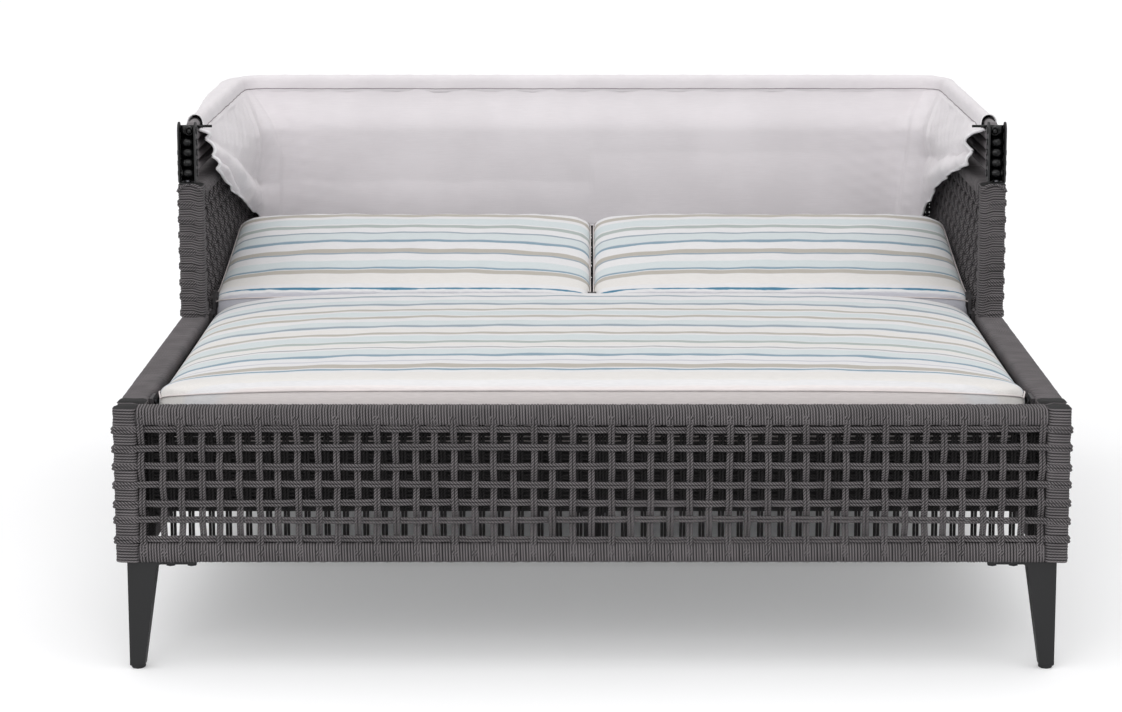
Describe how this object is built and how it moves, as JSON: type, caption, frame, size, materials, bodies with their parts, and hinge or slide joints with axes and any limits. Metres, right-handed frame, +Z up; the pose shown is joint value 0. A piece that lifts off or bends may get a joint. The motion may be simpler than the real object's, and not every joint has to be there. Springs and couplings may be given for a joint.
{
  "type": "outdoor daybed with canopy",
  "caption": "Double outdoor daybed: rope-woven base on tapered legs, arms with a folding bow canopy, a seat cushion and reclining backrests with back cushions.",
  "frame": {"origin": "on the floor, under the middle of the bed's width and depth", "axes": "+X across the bed, +Y from its front (the foot end) to its rear (the head end), +Z up"},
  "size_m": [1.52, 1.65, 0.79],
  "materials": {
    "rope": "dark grey cord, woven and tightly wound",
    "frame": "dark grey powder coat",
    "leg": "black powder coat",
    "bolt": "blackened steel",
    "glide": "black plastic",
    "bow": "warm grey tube",
    "canopy_cloth": "pale woven outdoor cloth",
    "cushion": "pale cloth with cross stripes in grey, tan, pale aqua and teal"
  },
  "bodies": {
    "bed": {"canopy_bow_1": "bow", "canopy_rear_cloth": "canopy_cloth", "front_level_ropes": "rope", "front_panel_frame": "frame", "front_upright_ropes": "rope", "left_arm_level_ropes": "rope", "left_arm_upright_ropes": "rope", "left_canopy_clevis": "leg", "left_canopy_side_cloth": "canopy_cloth", "left_front_deck_bolt": "bolt", "left_front_glide": "glide", "left_front_inner_leg_bolt": "bolt", "left_front_leg": "leg", "left_front_outer_leg_bolt": "bolt", "left_hinge_plate": "frame", "left_rear_deck_bolt": "bolt", "left_rear_glide": "glide", "left_rear_inner_leg_bolt": "bolt", "left_rear_leg": "leg", "left_rear_outer_leg_bolt": "bolt", "left_side_frame": "frame", "left_side_level_ropes": "rope", "left_side_upright_ropes": "rope", "rear_level_ropes": "rope", "rear_panel_frame": "frame", "rear_upright_ropes": "rope", "right_arm_level_ropes": "rope", "right_arm_upright_ropes": "rope", "right_canopy_clevis": "leg", "right_canopy_side_cloth": "canopy_cloth", "right_front_deck_bolt": "bolt", "right_front_glide": "glide", "right_front_inner_leg_bolt": "bolt", "right_front_leg": "leg", "right_front_outer_leg_bolt": "bolt", "right_hinge_plate": "frame", "right_rear_deck_bolt": "bolt", "right_rear_glide": "glide", "right_rear_inner_leg_bolt": "bolt", "right_rear_leg": "leg", "right_rear_outer_leg_bolt": "bolt", "right_side_frame": "frame", "right_side_level_ropes": "rope", "right_side_upright_ropes": "rope", "seat_cushion": "cushion", "seat_deck": "frame", "stop_beam": "frame"},
    "front_bow": {"canopy_bow_5": "bow", "canopy_sleeve": "canopy_cloth"},
    "fourth_bow": {"canopy_bow_4": "bow"},
    "third_bow": {"canopy_bow_3": "bow"},
    "second_bow": {"canopy_bow_2": "bow"},
    "right_backrest_body": {"right_backrest": "frame", "right_back_cushion": "cushion"},
    "left_backrest_body": {"left_backrest": "frame", "left_back_cushion": "cushion"}
  },
  "joints": [
    {"name": "canopy_front_bow_turn", "type": "hinge", "parent": "bed", "child": "front_bow", "pos_m": [0, -0.015, 0.774], "axis": [1, 0, 0], "range_deg": [0, 140], "deforming": ["canopy_rear_cloth", "right_canopy_side_cloth", "left_canopy_side_cloth"]},
    {"name": "canopy_fourth_bow_turn", "type": "hinge", "parent": "bed", "child": "fourth_bow", "pos_m": [0, -0.015, 0.7527], "axis": [1, 0, 0], "range_deg": [0, 101]},
    {"name": "canopy_third_bow_turn", "type": "hinge", "parent": "bed", "child": "third_bow", "pos_m": [0, -0.015, 0.7336], "axis": [1, 0, 0], "range_deg": [0, 66]},
    {"name": "canopy_second_bow_turn", "type": "hinge", "parent": "bed", "child": "second_bow", "pos_m": [0, -0.015, 0.7145], "axis": [1, 0, 0], "range_deg": [0, 32]},
    {"name": "right_backrest_turn", "type": "hinge", "parent": "bed", "child": "right_backrest_body", "pos_m": [0.355, 0.08, 0.445], "axis": [1, 0, 0], "range_deg": [0, 50]},
    {"name": "left_backrest_turn", "type": "hinge", "parent": "bed", "child": "left_backrest_body", "pos_m": [-0.355, 0.08, 0.445], "axis": [1, 0, 0], "range_deg": [0, 50]}
  ],
  "couplings": [
    {"joint": "canopy_fourth_bow_turn", "follows": "canopy_front_bow_turn", "ratio": 0.72},
    {"joint": "canopy_third_bow_turn", "follows": "canopy_front_bow_turn", "ratio": 0.47},
    {"joint": "canopy_second_bow_turn", "follows": "canopy_front_bow_turn", "ratio": 0.22}
  ]
}
